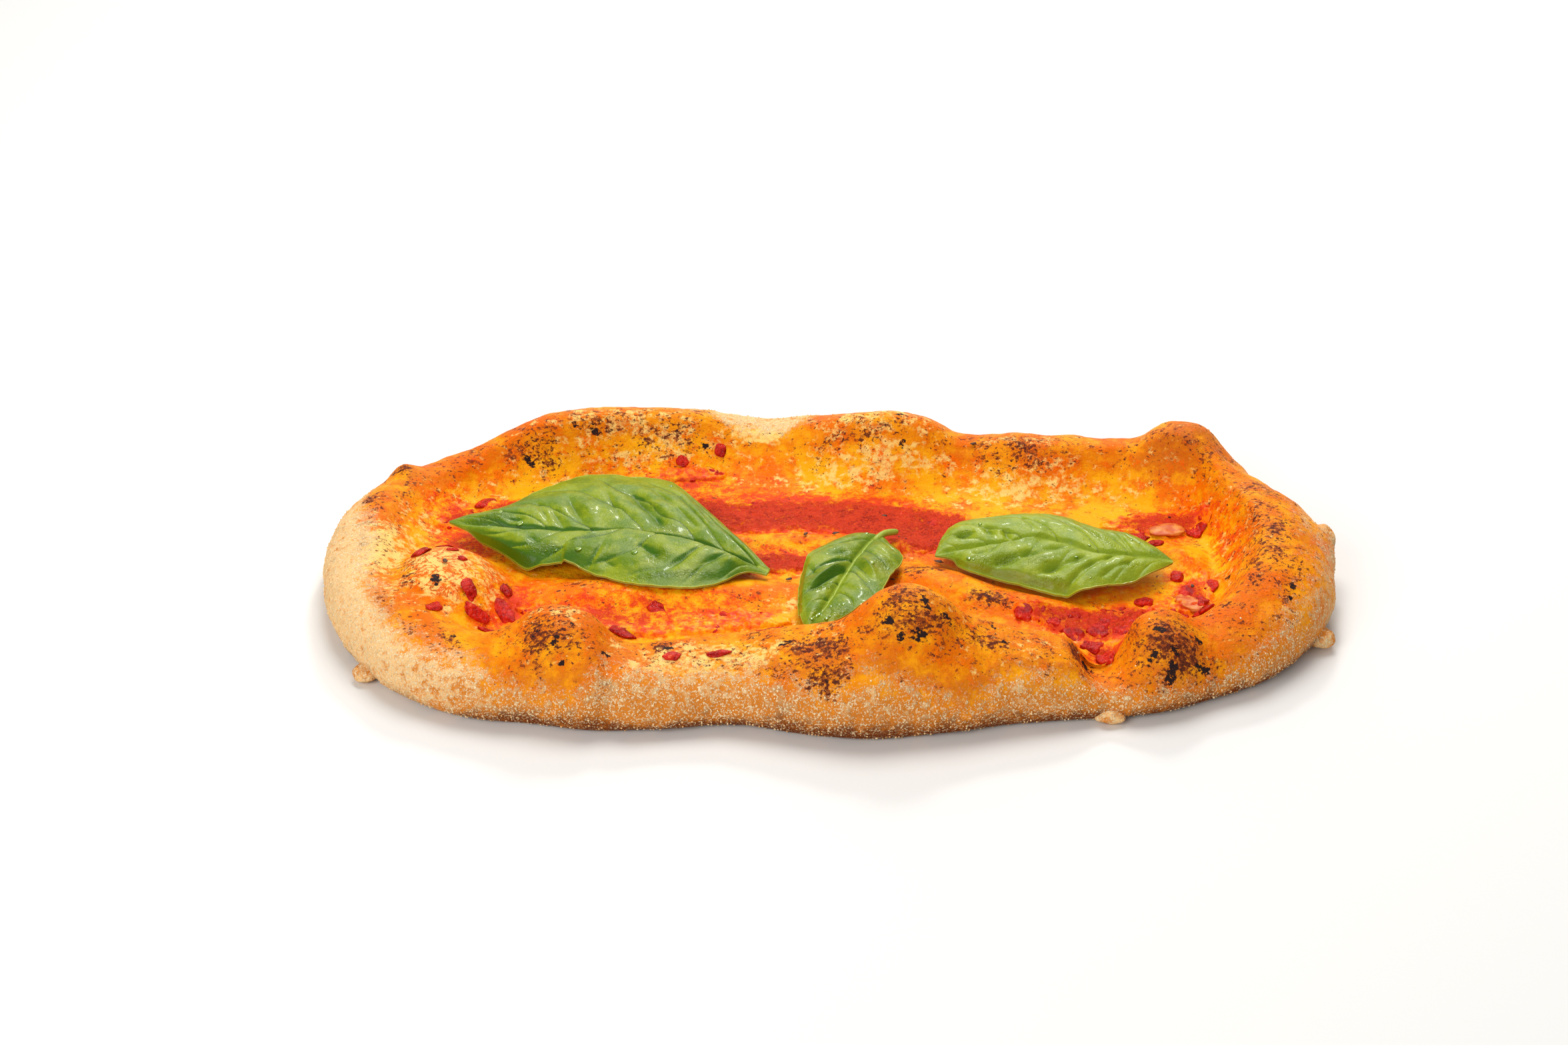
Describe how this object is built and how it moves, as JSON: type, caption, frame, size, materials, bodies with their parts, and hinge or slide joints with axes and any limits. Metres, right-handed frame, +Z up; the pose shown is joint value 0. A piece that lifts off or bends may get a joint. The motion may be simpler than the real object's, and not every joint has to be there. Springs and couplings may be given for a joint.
{
  "type": "marinara pizza",
  "caption": "Oval hand-stretched pizza with a puffy, blistered rim, a thin layer of tomato sauce, garlic slices and basil leaves, lying flat.",
  "frame": {"origin": "on the table under the middle of the pizza's outline", "axes": "+X along the pizza's length, -Y its front, +Z up"},
  "size_m": [0.297, 0.161, 0.0354],
  "materials": {
    "crust": "baked dough: golden orange with oil inside, pale and floured on its outer side, dark toasted specks on its bumps",
    "tomato_sauce": "thin granular cooked tomato, deep red, damp",
    "basil": "fresh quilted leaf, medium green, oiled",
    "garlic": "cooked slice, translucent beige"
  },
  "bodies": {
    "root": {"crust": "crust", "tomato_sauce_back": "tomato_sauce", "tomato_sauce_middle": "tomato_sauce", "tomato_sauce_left": "tomato_sauce", "tomato_sauce_back_foot": "tomato_sauce", "tomato_sauce_front": "tomato_sauce", "tomato_sauce_right": "tomato_sauce", "tomato_sauce_right_end": "tomato_sauce", "tomato_sauce_right_back": "tomato_sauce", "garlic_slice_back": "garlic", "garlic_slice_front": "garlic", "basil_leaf_left": "basil", "basil_leaf_centre": "basil", "basil_leaf_right": "basil"}
  },
  "joints": []
}
